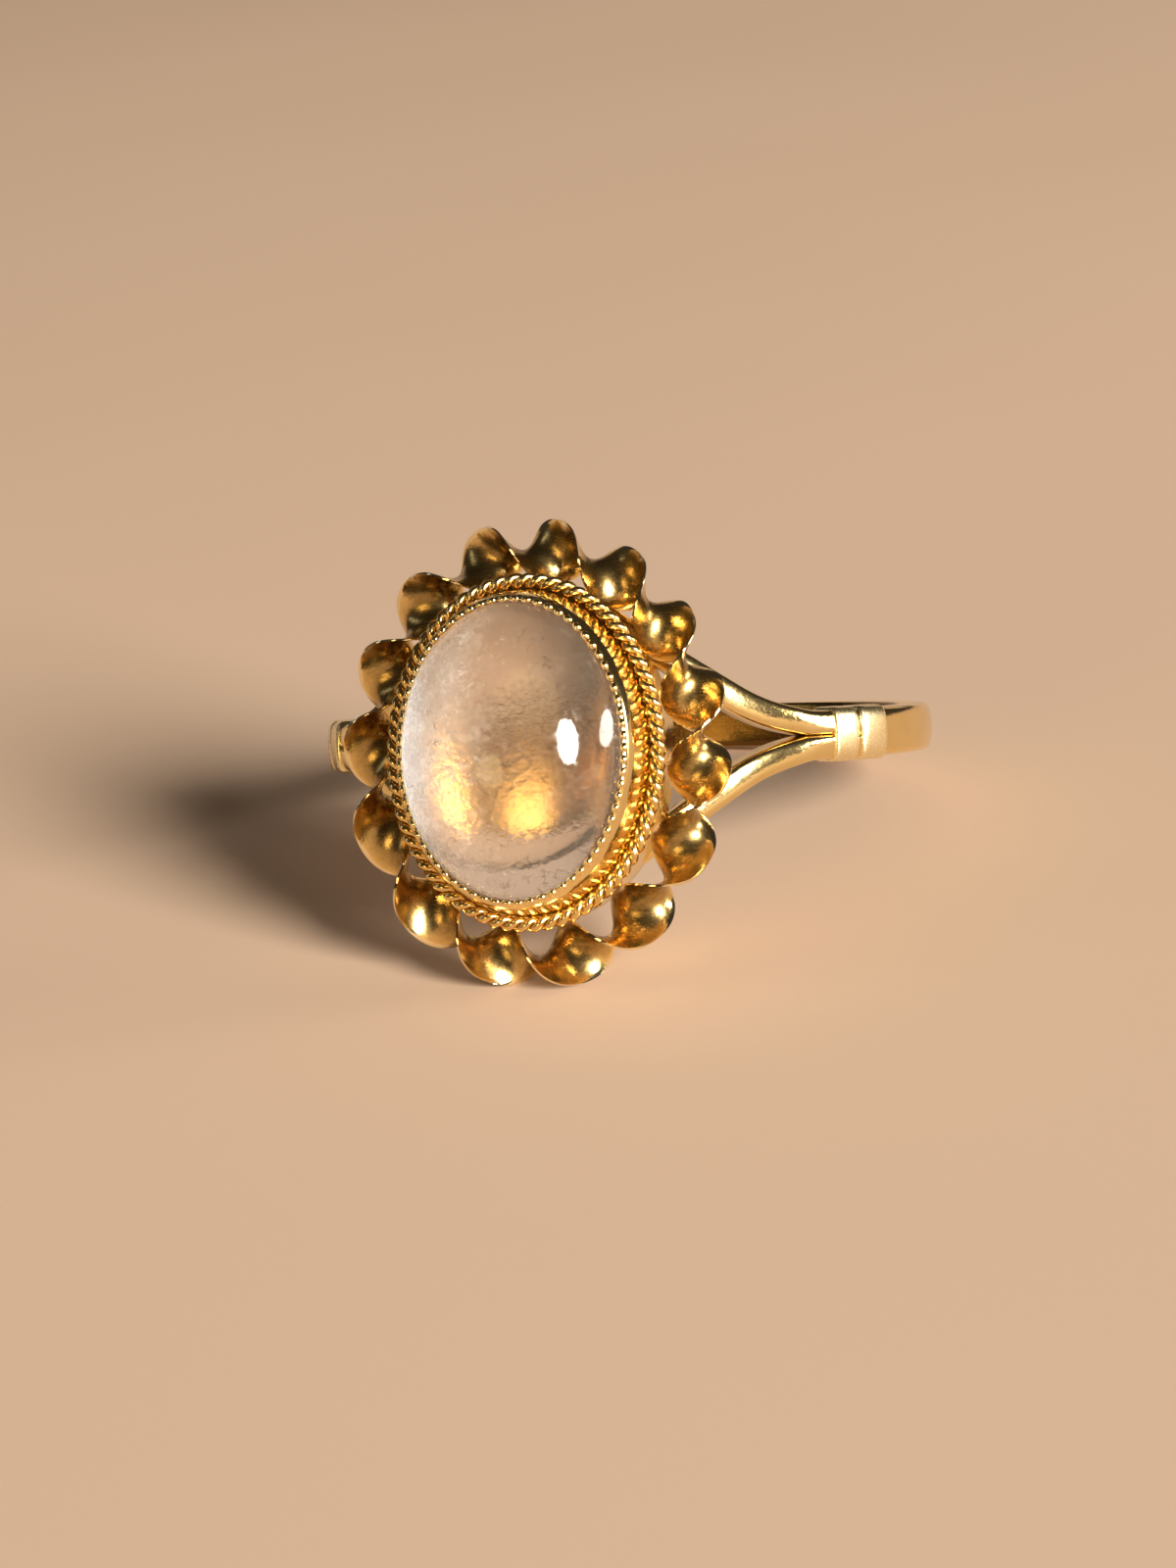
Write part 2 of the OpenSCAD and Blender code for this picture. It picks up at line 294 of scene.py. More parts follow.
def gold(name, bright, painted_shade, roughness, shade_reach, grain_mm, grain_depth):
    """Gold with fine scratches, small dents, brown painted shade where the piece is hollow, and
    rims worn bright with a painted highlight.
    """
    material = bpy.data.materials.new(name)
    material.use_nodes = True
    bench = Bench(material.node_tree)
    place = bench.node("ShaderNodeTexCoord", out="Object")
    hollow, rim = marked(bench, "hollow"), marked(bench, "rim")
    cloud = bench.noise(place, 0.9, 3.0)
    specks = bench.noise(place, 0.12, 4.0)
    scratch = bench.noise(place, 0.06, 3.0, (0.12, 1, 1))
    grain = bench.noise(place, grain_mm, 3.0)
    # painted shade: brown where the piece is hollow, broken up at random by clouds and specks
    shade_share = hollow * shade_reach + (cloud - 0.5) * 0.5 + (specks - 0.5) * 0.35
    shade_share = shade_share.ramp(0.25, 0.95)
    deeper = tuple(c * share for c, share in zip(bright, (0.95, 0.92, 0.82, 1)))
    worn = bench.mix(cloud.ramp(0.35, 0.7), bright, deeper)
    # rims: less rough from wear, and paler gold as a painted highlight
    worn_and_highlit = (rim + (specks - 0.5) * 0.8).ramp(0.35, 0.65)
    colour = bench.mix(worn_and_highlit, bench.mix(shade_share, worn, painted_shade), WORN_AND_HIGHLIT_GOLD)
    shine = roughness + scratch.ramp(0.5, 0.75) * 0.06 + specks.ramp(0.55, 0.8) * 0.05
    shine = (shine + shade_share * 0.1) * (1 - worn_and_highlit * 0.55)
    dents = bench.node(
        "ShaderNodeBump",
        sockets={"Height": grain + scratch * 0.15, "Strength": 0.5, "Distance": grain_depth * MM},
    )
    surface = bench.node(
        "ShaderNodeBsdfPrincipled",
        sockets={"Base Color": colour, "Roughness": shine, "Metallic": 1.0, "Normal": dents},
    )
    bench.node("ShaderNodeOutputMaterial", sockets={"Surface": surface})
    return material


# the gold's colour, paler on the collars as a painted highlight and darker on the wire and
# ribbon as painted shade, then the brown painted shade, roughness, reach of the painted shade,
# and width and depth of the dents in mm
finishes = {
    "gold_polished": ((0.95, 0.73, 0.34, 1), (0.24, 0.135, 0.035, 1), 0.13, 1.0, 0.30, 0.018),
    "gold_brushed": ((0.98, 0.82, 0.50, 1), (0.24, 0.135, 0.035, 1), 0.27, 1.0, 0.30, 0.008),
    "gold_wire": ((0.90, 0.63, 0.25, 1), (0.12, 0.06, 0.016, 1), 0.20, 1.3, 0.20, 0.008),
    "gold_ribbon": ((0.86, 0.61, 0.24, 1), (0.16, 0.085, 0.018, 1), 0.18, 0.78, 0.12, 0.012),
}
finishes = {name: gold(name, *values) for name, values in finishes.items()}
gold_polished, gold_brushed, gold_wire, gold_ribbon = finishes.values()
print("finishes:", list(finishes))

# %% [markdown]
# ## The shank
#
# The band is a half-round wire: flat against the finger, domed outside, with its edges worn
# round. It could be a curve with a bevel, but its two ends must later split in two, so its
# section is written out as points. A flattened oval with a high power gives the worn edges.
# The section's top follows the dome of the solid band at the back of the finger, and towards
# the collars it is filed nearly flat, as the photograph shows.

# %% The section of the shank and its arms
# points round the section, and how sharp its corners are
band_points, band_power = 56, 7
# the share of the full dome that is left by the collars, and the angles between which it grows
flat_share, flat_until, domed_from = 0.3, 100, 150


def rounded(count, power):
    """Points round a square from -1 to 1, with corners that a higher power makes sharper."""
    turn = np.linspace(0, 2 * math.pi, 4001)
    c, s = np.cos(turn), np.sin(turn)
    x, y = np.sign(c) * np.abs(c) ** (2 / power), np.sign(s) * np.abs(s) ** (2 / power)
    walked = np.concatenate([[0], np.cumsum(np.hypot(np.diff(x), np.diff(y)))])
    # half of the points go to the corners and half to the flat sides
    measure = walked / walked[-1] + turn / turn[-1]
    wanted = np.linspace(0, 2, count, endpoint=False)
    return np.interp(wanted, measure, x), np.interp(wanted, measure, y)


def smooth(value, low, high):
    """0 below low, 1 above high, and a soft slope between."""
    share = np.clip((value - low) / (high - low), 0, 1)
    return share * share * (3 - 2 * share)


def dome_height(z, dome=flat_share):
    """Radius of the band's outer face at a distance from its middle; dome 1 is a full dome."""
    drop = dome_r - np.sqrt(np.clip(dome_r**2 - z**2, 0, None))
    return finger_r + band_t - drop * dome


def on_ring(angle, r, z):
    """A point of the ring board, by its angle from the head's middle."""
    return np.stack([r * np.sin(angle), -r * np.cos(angle), z + 0 * r], -1)


def sweep_band(start, end, steps, proud=0.0, ends=0.0, inside=0.0):
    """The whole section from one angle to another; ends rounds the sweep's two ends, and
    inside lifts its inner face off the finger."""
    across, up = rounded(band_points, band_power)
    rows = []
    for share in np.linspace(0, 1, steps):
        angle = start + (end - start) * share
        near = 1 - abs(2 * share - 1)
        swell = proud
        if ends:
            run = min(near / ends, 1)
            swell = proud * math.sqrt(run * (2 - run))
        z = across * (band_w / 2 + swell)
        from_front = min(abs(angle), 360 - abs(angle))
        dome = flat_share + (1 - flat_share) * smooth(from_front, flat_until, domed_from)
        top = dome_height(z * band_w / (band_w + 2 * swell), dome) + swell
        r = finger_r + inside + (up + 1) / 2 * (top - finger_r - inside)
        rows.append(on_ring(np.radians(angle), r, z))
    return np.array(rows)


# %% Shank
shank_end, shank_steps = 66, 200
shank_rows = sweep_band(shank_end, 360 - shank_end, shank_steps)
shank_mesh = joined([shell(shank_rows)])
# brown painted shade darkens the face that touches the finger and dims the lamps' reflections in
# it, and fades out towards the collars
shade_depth, shade_full_from, inner_face = 1.1, 100, 0.1
from_finger = np.hypot(shank_rows[:, :, 0], shank_rows[:, :, 1]) - finger_r
from_front = np.degrees(np.abs(np.arctan2(shank_rows[:, :, 0], -shank_rows[:, :, 1])))
painted_shade = shade_depth * smooth(from_front, shank_end, shade_full_from)
mark(shank_mesh, "hollow", np.where(from_finger < inner_face, painted_shade, 0.0))
dressed("shank", shank_mesh, ring_board, gold_polished, stands_for="ring_mount")

# %% [markdown]
# ## The collars
#
# Two bands are turned on each side where the shank meets the fork. On the real ring they
# are thin rings that were filed up and brushed, so they are bright over their whole width
# where the polished shank shows narrow reflections. Their gold is also paler than the
# shank's, a painted highlight. Each is the shank's own section, a little larger, over a short
# stretch, with its two ends rounded off.

# %% Collars
degrees_per_mm = 180 / math.pi / (finger_r + band_t)
# where the first collar begins, in degrees from the head's middle, then the gap between the
# two and their lengths, in millimetres
collar_at, collar_gap, collar_lengths = 55.4, 0.2, (1.0, 1.27)
# how far a collar stands out, the share of it that is rounded off, how far its inner face is
# sunk into the band, and its rows of points
collar_proud, collar_ends, collar_sunk, collar_steps = 0.09, 0.35, 0.03, 25
collar_starts = (collar_at, collar_at + (collar_lengths[0] + collar_gap) * degrees_per_mm)
collar_shells = []
for start, length in zip(collar_starts, collar_lengths):
    for side in (1, -1):
        turn = side * start, side * (start + length * degrees_per_mm)
        rows = sweep_band(*turn, collar_steps, collar_proud, collar_ends, collar_sunk)
        collar_shells.append(shell(rows))
dressed("collars", joined(collar_shells), ring_board, gold_brushed, stands_for="ring_mount")

# %% [markdown]
# ## The split shoulders
#
# Each side of the shank is sawn down its middle and the halves are bent apart, up to the
# head. So an arm begins as half of the shank's section and ends as a bar of its own. The
# rows below change from one to the other on the way. Seen from the front, both edges of an
# arm are circles that run on as straight lines. Seen along the finger, it leaves the finger
# circle on a straight line, up to the gallery. Each lengthwise line of the arm is followed
# until it is inside the gallery's wall, so nothing sticks out into the open back.

# %% Where an arm's edges run, seen from the front
# an arm's width and thickness
arm_w, arm_t = 0.8, 1.04
# the arm's outer edge begins to bend outwards at this place on the ring, a little inside the
# band's edge, and bends on this radius up to this angle
bend_from, bend_inset = math.radians(54.8), 0.04
bend_r, bend_angle = 4.05, math.radians(38)
bend_x = (finger_r + band_t) * math.sin(bend_from)
bend_z = band_w / 2 - bend_inset + bend_r
# nearer to the head than this angle, the arm leaves the finger circle
lift_angle = math.radians(34.64)
print("the arms begin to bend", round(bend_x, 2), "mm from the ring's middle")


def arm_edge(x, radius):
    """Distance from the ring's middle plane to one edge of the arm."""
    run = np.clip(bend_x - x, 0, None)
    turned = np.minimum(run, radius * math.sin(bend_angle))
    curve = bend_z - np.sqrt(radius**2 - turned**2)
    return curve + (run - turned) * math.tan(bend_angle)


def lifted(radius, angle):
    """The finger circle, and from the lift angle on the straight line that touches it."""
    straight = radius / np.cos(np.clip(lift_angle - angle, 0, 1))
    return np.where(angle > lift_angle, radius, straight)


# %% One arm, as lines that end inside the gallery's wall
arm_start = math.radians(68)
# up to the first angle the arm is a bar, and from the second on it is half of the band
bar_until, half_from = math.radians(47), math.radians(56)
# how much the bar's top is rounded up, and how far the whole top lies lower
arm_crown, arm_sunk = 0.05, 0.02
# the arm's end lies just inside the shank's, so no two faces share a place
end_sunk, sunk_between = 0.02, (math.radians(65.5), math.radians(66))


def arm_points(angle, across, up):
    """Points of one arm's surface; each line of it has its own angle."""
    half = smooth(angle, bar_until, half_from)
    middle_r = lifted(finger_r + arm_t / 2, angle)
    x = middle_r * np.sin(angle)
    inner = np.maximum(arm_edge(x, bend_r + arm_w), 0.0) * (1 - half)
    outer = arm_edge(x, bend_r) * (1 - half) + band_w / 2 * half
    z = inner + (across + 1) / 2 * (outer - inner)
    bar_top = lifted(finger_r + arm_t, angle) + arm_crown * (1 - across**2) - arm_sunk
    top = bar_top * (1 - half) + dome_height(z) * half
    bottom = lifted(finger_r, angle) + end_sunk * smooth(angle, *sunk_between)
    return on_ring(angle, bottom + (up + 1) / 2 * (top - bottom), z)


to_head = np.array(leaned.inverted())
wall_semi = np.array(stone_semi) + gallery_out - gallery_wall / 2


def inside_wall(points, mirror):
    """Which points of the ring board are past the middle of the gallery's wall."""
    p = points * np.array([1, 1, mirror]) @ to_head[:3, :3].T + to_head[:3, 3]
    return (p[:, 0] / wall_semi[0]) ** 2 + (p[:, 2] / wall_semi[1]) ** 2 < 1


def arm(mirror):
    """Rows of one arm. Halving finds the angle at which each line meets the wall's middle."""
    across, up = rounded(arm_lines, arm_power)
    low, high = (np.full(arm_lines, math.radians(a)) for a in search_between)
    for _ in range(halvings):
        middle = (low + high) / 2
        inside = inside_wall(arm_points(middle, across, up), mirror)
        low, high = np.where(inside, middle, low), np.where(inside, high, middle)
    shares = np.linspace(0, 1, arm_rows)
    return np.array([arm_points(arm_start + (low - arm_start) * s, across, up) for s in shares])


# %% Four arms
# points round an arm, how sharp its corners are, and rows of points along it
arm_lines, arm_power, arm_rows = 44, 6, 90
# the angles in degrees between which each line's end is looked for, and how often they are halved
search_between, halvings = (10, 45), 24
arm_shells = []
for side in (1, -1):
    for end in (1, -1):
        arm_shells.append(shell(arm(end) * np.array([side, 1, end])))
dressed("shoulders", joined(arm_shells), ring_board, gold_polished, stands_for="ring_mount")

# %% [markdown]
# ## The setting
#
# A strip of metal is bent to the stone's oval and soldered, a ledge goes inside to carry the
# stone, and the top edge is pushed over the stone all round. In the mesh it is one closed
# outline, carried round the oval. The outline's corners are rounded with small arcs, as
# files and polishing leave them.

# %% Round the corners of an outline and carry it round the oval


def eased(outline, radius, arc=4):
    """An outline with each corner replaced by a short arc."""
    outline = np.array(outline, float)
    result = []
    for i, corner in enumerate(outline):
        before, after = outline[i - 1] - corner, outline[(i + 1) % len(outline)] - corner
        reach = min(radius, 0.45 * np.linalg.norm(before), 0.45 * np.linalg.norm(after))
        a = corner + before / np.linalg.norm(before) * reach
        b = corner + after / np.linalg.norm(after) * reach
        for share in np.linspace(0, 1, arc):
            result.append((1 - share) ** 2 * a + 2 * share * (1 - share) * corner + share**2 * b)
    return np.array(result)


def round_oval(outline, steps=192):
    """Carries [offset, height] points round the stone's oval, on the head board."""
    turn = np.linspace(0, 2 * math.pi, steps, endpoint=False)[:, None]
    x = (stone_semi[0] + outline[:, 0]) * np.sin(turn)
    y = (stone_semi[1] + outline[:, 0]) * np.cos(turn)
    return np.stack([x, y, outline[:, 1] + 0 * turn], -1)


def stone_offset(height, gap):
    """How far inside its widest oval the stone's dome is, at a height, plus a gap."""
    share = math.sqrt(1 - ((height - girdle_at) / stone_dome) ** 2)
    return stone_semi[0] * (share - 1) + gap


# %% Setting
# the radius of the eased corners, and the gap between the metal and the stone
corner_r, stone_gap = 0.07, 0.02
# the ledge's inner edge and thickness, and the heights between which the gallery widens
ledge_in, ledge_t = -0.7, 0.5
step_low, step_high = shelf_at - 0.62, shelf_at - 0.03
# how far out the wall's foot and top are, and how high its top is, then the two heights
# between which the metal follows the stone
wall_foot, wall_top, lip_low = 0.35, 0.13, lip_at - 0.36
lip_edge, touches = lip_at - 0.05, girdle_at + 0.45
# each row is a distance outside the stone's oval, and a height
setting_outline = [
    # the gallery, up to the step that carries the rope
    (gallery_in, base_at),
    (gallery_out, base_at),
    (gallery_out, step_low),
    (rope_out, step_high),
    (rope_out, shelf_at),
    # the leaning wall, and the lip that is pushed over the stone
    (wall_foot, shelf_at),
    (wall_top, lip_low),
    (0.02, lip_at - 0.1),
    (-0.1, lip_at - 0.02),
    (stone_offset(lip_edge, stone_gap), lip_edge),
    # down beside the stone, and round the ledge under it
    (stone_offset(touches, stone_gap), touches),
    (stone_gap, girdle_at),
    (stone_gap, shelf_at),
    (ledge_in, shelf_at),
    (ledge_in, shelf_at - ledge_t),
    (gallery_in, shelf_at - ledge_t),
]
setting_section = eased(setting_outline, corner_r)
setting_rows = round_oval(setting_section)
setting_mesh = joined([shell(setting_rows, ring=True)])
# painted shade gathers where the lip meets the stone, as the shadow of the gap there, and a
# little less in the seat below
shade_from, shade_run, seat_shade = -0.06, 0.06, 0.7
painted_shade = np.clip((shade_from - setting_section[:, 0]) / shade_run, 0, 1)
painted_shade = painted_shade * np.where(setting_section[:, 1] > girdle_at, 1, seat_shade)
mark(setting_mesh, "hollow", np.tile(painted_shade, len(setting_rows)))
dressed("setting", setting_mesh, head_board, gold_polished, stands_for="ring_mount")

# %% [markdown]
# ## Geometry Nodes: a tree with named sizes
#
# The beads on the lip, the strands of the rope and the ribbon all repeat along an oval.
# That is work for Geometry Nodes: the path and the rule are given once, and a size can be
# changed by name. The class below starts a tree with its named sizes. A function puts the
# tree on an object, sets each size by its socket's identifier, and keeps the result as a
# plain mesh, so nothing is left live when the ring is exported.

# %% Start a tree, and run it


class Tree(Bench):
    """A Geometry Nodes tree with named sizes."""

    def __init__(self, name, sizes):
        tree = bpy.data.node_groups.new(name, "GeometryNodeTree")
        super().__init__(tree)
        tree.interface.new_socket("Geometry", in_out="INPUT", socket_type="NodeSocketGeometry")
        for label, value in sizes.items():
            kind = "NodeSocketInt" if isinstance(value, int) else "NodeSocketFloat"
            socket = tree.interface.new_socket(label, in_out="INPUT", socket_type=kind)
            socket.default_value = value
        tree.interface.new_socket("Geometry", in_out="OUTPUT", socket_type="NodeSocketGeometry")
        self.entry = tree.nodes.new("NodeGroupInput")

    def given(self, label):
        """What the tree is given under this name: a size, or the starting geometry."""
        return Wire(self, self.entry.outputs[label])

    def upward(self, height):
        """A vector that points up by a height."""
        return self.node("ShaderNodeCombineXYZ", sockets={"Z": height})

    def keep(self, geometry, label, value, kind="FLOAT"):
        """The geometry with a value kept at each of its points."""
        settings = {"data_type": kind, "domain": "POINT"}
        sockets = {"Geometry": geometry, "Name": label, "Value": value}
        return self.node("GeometryNodeStoreNamedAttribute", settings, sockets)

    def kept(self, label, kind="FLOAT"):
        """The value that was kept under this name."""
        return self.node("GeometryNodeInputNamedAttribute", {"data_type": kind}, {"Name": label})

    def oval(self, points, offset):
        """An oval wire at an offset from the stone, with evenly spaced points."""
        unit = {"Resolution": 512, "Radius": 1.0}
        circle = self.node("GeometryNodeCurvePrimitiveCircle", sockets=unit)
        half = {"X": offset + stone_semi[0], "Y": offset + stone_semi[1], "Z": 1.0}
        half = self.node("ShaderNodeCombineXYZ", sockets=half)
        bent = self.node("GeometryNodeTransform", sockets={"Geometry": circle, "Scale": half})
        return self.node("GeometryNodeResampleCurve", sockets={"Curve": bent, "Count": points})

    def sweep(self, line, section):
        """A section carried along a line."""
        sockets = {"Curve": line, "Profile Curve": section}
        return self.node("GeometryNodeCurveToMesh", sockets=sockets)

    def finish(self, geometry, material):
        """Makes the result plain mesh and gives it its metal."""
        solid = self.node("GeometryNodeRealizeInstances", sockets={"Geometry": geometry})
        dressing = {"Geometry": solid, "Material": material}
        metal = self.node("GeometryNodeSetMaterial", sockets=dressing)
        self.node("NodeGroupOutput", sockets={"Geometry": metal})


def grown(name, tree, sizes, start=None):
    """The mesh that a tree makes with these sizes, from a starting mesh if one is given."""
    mesh = start or bpy.data.meshes.new(name)
    holder = bpy.data.objects.new(name, mesh)
    bpy.context.scene.collection.objects.link(holder)
    modifier = holder.modifiers.new(name, "NODES")
    modifier.node_group = tree.tree
    for item in tree.tree.interface.items_tree:
        if item.in_out == "INPUT" and item.name in sizes:
            modifier[item.identifier] = sizes[item.name]
    depsgraph = bpy.context.evaluated_depsgraph_get()
    result = bpy.data.meshes.new_from_object(holder.evaluated_get(depsgraph), depsgraph=depsgraph)
    result.name = name
    holder.modifiers.remove(modifier)
    bpy.data.objects.remove(holder)
    return result


# %% [markdown]
# ## Beads on the lip
#
# A knurled wheel is rolled along the edge that holds the stone and leaves a row of small
# beads, called milgrain. Modelled one by one that would be seventy pieces of work. The tree
# sets one bead at each point of the oval and turns it along the oval's direction. A bead is
# longer than it is high, as the wheel leaves it.

# %% Milgrain
# how many beads, how far outside the stone's oval and how high they lie, and their radius
bead_sizes = {"Beads": 70, "Offset": -0.085, "Height": lip_at - 0.055, "Bead": 0.108}
bead_shape = (1.5, 1, 0.85)
beads_tree = Tree("milgrain", bead_sizes)
bead_oval = beads_tree.oval(beads_tree.given("Beads"), beads_tree.given("Offset"))
ball = {"Segments": 12, "Rings": 8, "Radius": beads_tree.given("Bead")}
bead = beads_tree.node("GeometryNodeMeshUVSphere", sockets=ball)
longer = {"Geometry": bead, "Scale": bead_shape}
bead = beads_tree.node("GeometryNodeTransform", sockets=longer)
along = beads_tree.node("GeometryNodeInputTangent")
turned = beads_tree.node(
    "FunctionNodeAlignRotationToVector", {"axis": "X", "pivot_axis": "Z"}, {"Vector": along}
)
row = {"Points": bead_oval, "Instance": bead, "Rotation": turned}
beads = beads_tree.node("GeometryNodeInstanceOnPoints", sockets=row)
lifted_row = {"Geometry": beads, "Translation": beads_tree.upward(beads_tree.given("Height"))}
beads = beads_tree.node("GeometryNodeTransform", sockets=lifted_row)
beads_tree.finish(beads, gold_polished)
dressed("milgrain", grown("milgrain", beads_tree, bead_sizes), head_board, gold_polished)

# %% [markdown]
# ## The rope
#
# Two round wires are twisted together and laid round the foot of the setting. The setting's
# polished wall mirrors the rope, so from the front it looks like a plait. A strand is a wire
# whose middle swings round the oval's line: the further along, the further it has turned.
# The tree moves the oval's points by that swing and then gives the line its thickness. How
# near a point is to the rope's own middle is kept as the "hollow" attribute, for the brown
# painted shade between the strands.

# %% The rope's tree
rope_gap = 0.02
# shares of the rope's width: how far a strand's middle swings, and the strand's radius
swing_share, strand_share = 0.235, 0.275
rope_sizes = {
    "Offset": rope_out,
    "Height": shelf_at + rope_gap + rope_d / 2,
    "Swing": rope_d * swing_share,
    "Strand": rope_d * strand_share,
    "Turns": 35,
    "Samples": 18,
}
rope_tree = Tree("rope", rope_sizes)
turns, samples = rope_tree.given("Turns"), rope_tree.given("Samples")
swing, strand = rope_tree.given("Swing"), rope_tree.given("Strand")
rope_line = rope_tree.oval(turns * samples, rope_tree.given("Offset"))
middle = rope_tree.node("GeometryNodeInputPosition")
rope_line = rope_tree.keep(rope_line, "middle", middle, "FLOAT_VECTOR")
tangent = rope_tree.node("GeometryNodeInputTangent")
outward = rope_tree.vector("CROSS_PRODUCT", tangent, (0.0, 0.0, 1.0))
place = rope_tree.node("GeometryNodeInputIndex")
strands = rope_tree.tree.nodes.new("GeometryNodeJoinGeometry")
for start in (0, math.pi):
    turn = place / samples * (2 * math.pi) + start
    aside = rope_tree.along(outward, turn.to("COSINE") * swing)
    above = rope_tree.upward(turn.to("SINE") * swing + rope_tree.given("Height"))
    swung = {"Geometry": rope_line, "Offset": rope_tree.vector("ADD", aside, above)}
    line = rope_tree.node("GeometryNodeSetPosition", sockets=swung)
    wire = {"Resolution": 12, "Radius": strand}
    round_wire = rope_tree.node("GeometryNodeCurvePrimitiveCircle", sockets=wire)
    rope_tree.tree.links.new(rope_tree.sweep(line, round_wire).socket, strands.inputs[0])
level = rope_tree.upward(rope_tree.given("Height"))
rope_middle = rope_tree.vector("ADD", rope_tree.kept("middle", "FLOAT_VECTOR"), level)
apart = rope_tree.vector("DISTANCE", middle, rope_middle, "Value")
# painted shade between the strands: 1 in the valleys near the rope's middle, 0 on the crests
valley = 1 - ((apart - swing) / strand).ramp(-0.35, 0.75)
rope_tree.finish(rope_tree.keep(Wire(rope_tree, strands.outputs[0]), "hollow", valley), gold_wire)

# %% Rope
rope_mesh = grown("rope_wire", rope_tree, rope_sizes)
dressed("rope_wire", rope_mesh, head_board, gold_wire, sharp=60, stands_for="rope")

# %% [markdown]
# ## The ribbon frame
#
# A flat strip is twisted by half a turn for each lobe, bent round the setting, and a punch
# hollows every lobe a little. Fifteen half turns are an odd number, so the strip meets
# itself upside down, like a paper ring with a twist in it. That makes it hard to sweep: a
# whole section wouldn't meet itself at the joint. So the tree sweeps one half of the
# section, and the line goes round twice: the second round makes the strip's other side.
# Python draws the line, with the turn of the strip and the outward direction at each point.
# The nodes do the sweep, the turn and the hollow.

# %% The line of the ribbon, twice round
ribbon_w, ribbon_t, lobe_cup = 1.9, 0.14, 0.25
ribbon_out, ribbon_at = 1.538, shelf_at - 0.73
# where each lobe's middle is, clockwise from the top, in lobes
lobes = [0.25, 1.25, 2.17, 3.12, 4.05, 5.05, 6.07, 7.03, 7.97, 9.0, 10.2, 11.3, 12.3, 13.3, 14.4]
# how many lobes, the rows of points for each, and by how many degrees the twist lingers there
count, lobe_rows, linger = len(lobes), 48, 8
lobe_places = np.array(lobes + [lobe + count for lobe in lobes] + [lobes[0] + 2 * count])
steps = np.arange(2 * count * lobe_rows) / lobe_rows
shares = np.interp(steps, np.arange(2 * count + 1), lobe_places) / count
turn = np.radians(180 * steps - linger * np.sin(2 * math.pi * (steps % 1)))

fine = np.linspace(0, 2 * math.pi, 4001)
half_x, half_y = stone_semi[0] + ribbon_out, stone_semi[1] + ribbon_out
fine_oval = [half_x * np.sin(fine), half_y * np.cos(fine)]
lengths = np.concatenate([[0], np.cumsum(np.hypot(*np.diff(fine_oval)))])
where = np.interp((shares % 1) * lengths[-1], lengths, fine)
line = np.stack([half_x * np.sin(where), half_y * np.cos(where), 0 * where + ribbon_at], -1)
out = np.stack([half_y * np.sin(where), half_x * np.cos(where), 0 * where], -1)
out /= np.linalg.norm(out, axis=1)[:, None]

ribbon_line = bpy.data.meshes.new("ribbon_line")
total = len(line)
ribbon_line.from_pydata(line.tolist(), [(i, (i + 1) % total) for i in range(total)], [])
mark(ribbon_line, "turn", turn)
for label, values in (("outward", out), ("middle", line)):
    attribute = ribbon_line.attributes.new(label, "FLOAT_VECTOR", "POINT")
    attribute.data.foreach_set("vector", values.ravel())
print("the ribbon's line is", round(lengths[-1], 1), "mm round, with", total, "points")

# %% The tree of the ribbon
ribbon_sizes = {"Width": ribbon_w, "Thickness": ribbon_t, "Hollow": lobe_cup, "Across": 15}
# how close the points of the section lie to its edges, and how round the edges are
edge_power, face_power = 1.6, 0.18
# the part of the section, from 0 in the middle to 1 at the edge, where the rim is worn bright and
# gets a painted highlight
rim_from, rim_to = 0.86, 0.93
# both rounds of the sweep meet along the edges, and are joined there
join_within = 0.002

ribbon_tree = Tree("ribbon", ribbon_sizes)
width, thick, cup = (ribbon_tree.given(n) for n in ("Width", "Thickness", "Hollow"))
across_count = ribbon_tree.given("Across")
half_section = ribbon_tree.node(
    "GeometryNodeCurvePrimitiveLine", sockets={"Start": (0, 0, 0), "End": (1, 0, 0)}
)
half_section = ribbon_tree.node(
    "GeometryNodeResampleCurve", sockets={"Curve": half_section, "Count": across_count}
)
step = ribbon_tree.node("GeometryNodeInputIndex") / (across_count - 1) * math.pi
side_of, from_middle = step.to("COSINE").to("SIGN"), step.to("COSINE").to("ABSOLUTE")
half_section = ribbon_tree.keep(
    half_section, "across", side_of * (1 - (1 - from_middle) ** edge_power)
)
half_section = ribbon_tree.keep(
    half_section, "face", step.to("SINE").to("MAXIMUM", 0.0) ** face_power
)
path = ribbon_tree.node("GeometryNodeMeshToCurve", sockets={"Mesh": ribbon_tree.given("Geometry")})
swept = ribbon_tree.sweep(path, half_section)

# %% The twist and the hollow of the ribbon, with its painted shade and its worn, highlit rims
across, face = ribbon_tree.kept("across"), ribbon_tree.kept("face")
cosine, sine = (ribbon_tree.kept("turn").to(kind) for kind in ("COSINE", "SINE"))
u = across * width * 0.5
v = face * thick * 0.5 - cup * (1 - across * across) * cosine
aside = ribbon_tree.along(ribbon_tree.kept("outward", "FLOAT_VECTOR"), u * cosine - v * sine)
moved = ribbon_tree.vector("ADD", aside, ribbon_tree.upward(u * sine + v * cosine))
spot = ribbon_tree.vector("ADD", ribbon_tree.kept("middle", "FLOAT_VECTOR"), moved)
swept = ribbon_tree.node("GeometryNodeSetPosition", sockets={"Geometry": swept, "Position": spot})
